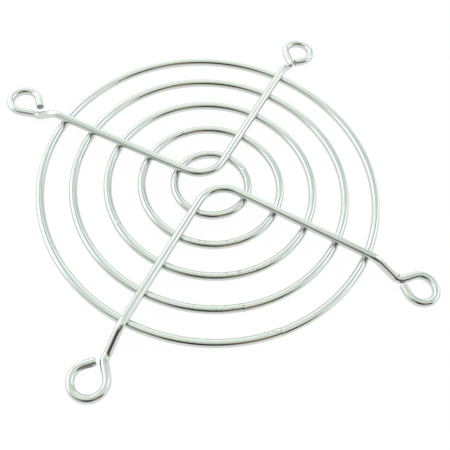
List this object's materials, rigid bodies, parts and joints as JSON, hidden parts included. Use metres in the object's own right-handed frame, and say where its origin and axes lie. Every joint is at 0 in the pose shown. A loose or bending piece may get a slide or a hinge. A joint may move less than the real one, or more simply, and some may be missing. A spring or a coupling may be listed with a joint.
{
  "type": "wire fan guard",
  "caption": "Round wire finger guard for a small cooling fan: concentric welded rings under two V-shaped rib wires that end in curled screw eyelets.",
  "frame": {"origin": "middle of the four screw holes, on the mounting face that the undersides of the four eyelets lie on", "axes": "+Z away from the fan, out through the rings to the ribs; +X and +Y along the sides of the square that the screw holes make, with the two ribs' bends facing each other along Y"},
  "size_m": [0.0798, 0.0798, 0.0055],
  "materials": {
    "ring_plating": "bright nickel-chrome plating on round steel wire",
    "rib_plating": "bright nickel-chrome plating on round steel wire"
  },
  "bodies": {
    "root": {"outer_ring": "ring_plating", "fourth_ring": "ring_plating", "third_ring": "ring_plating", "second_ring": "ring_plating", "inner_ring": "ring_plating", "back_rib": "rib_plating", "front_rib": "rib_plating"}
  },
  "joints": []
}
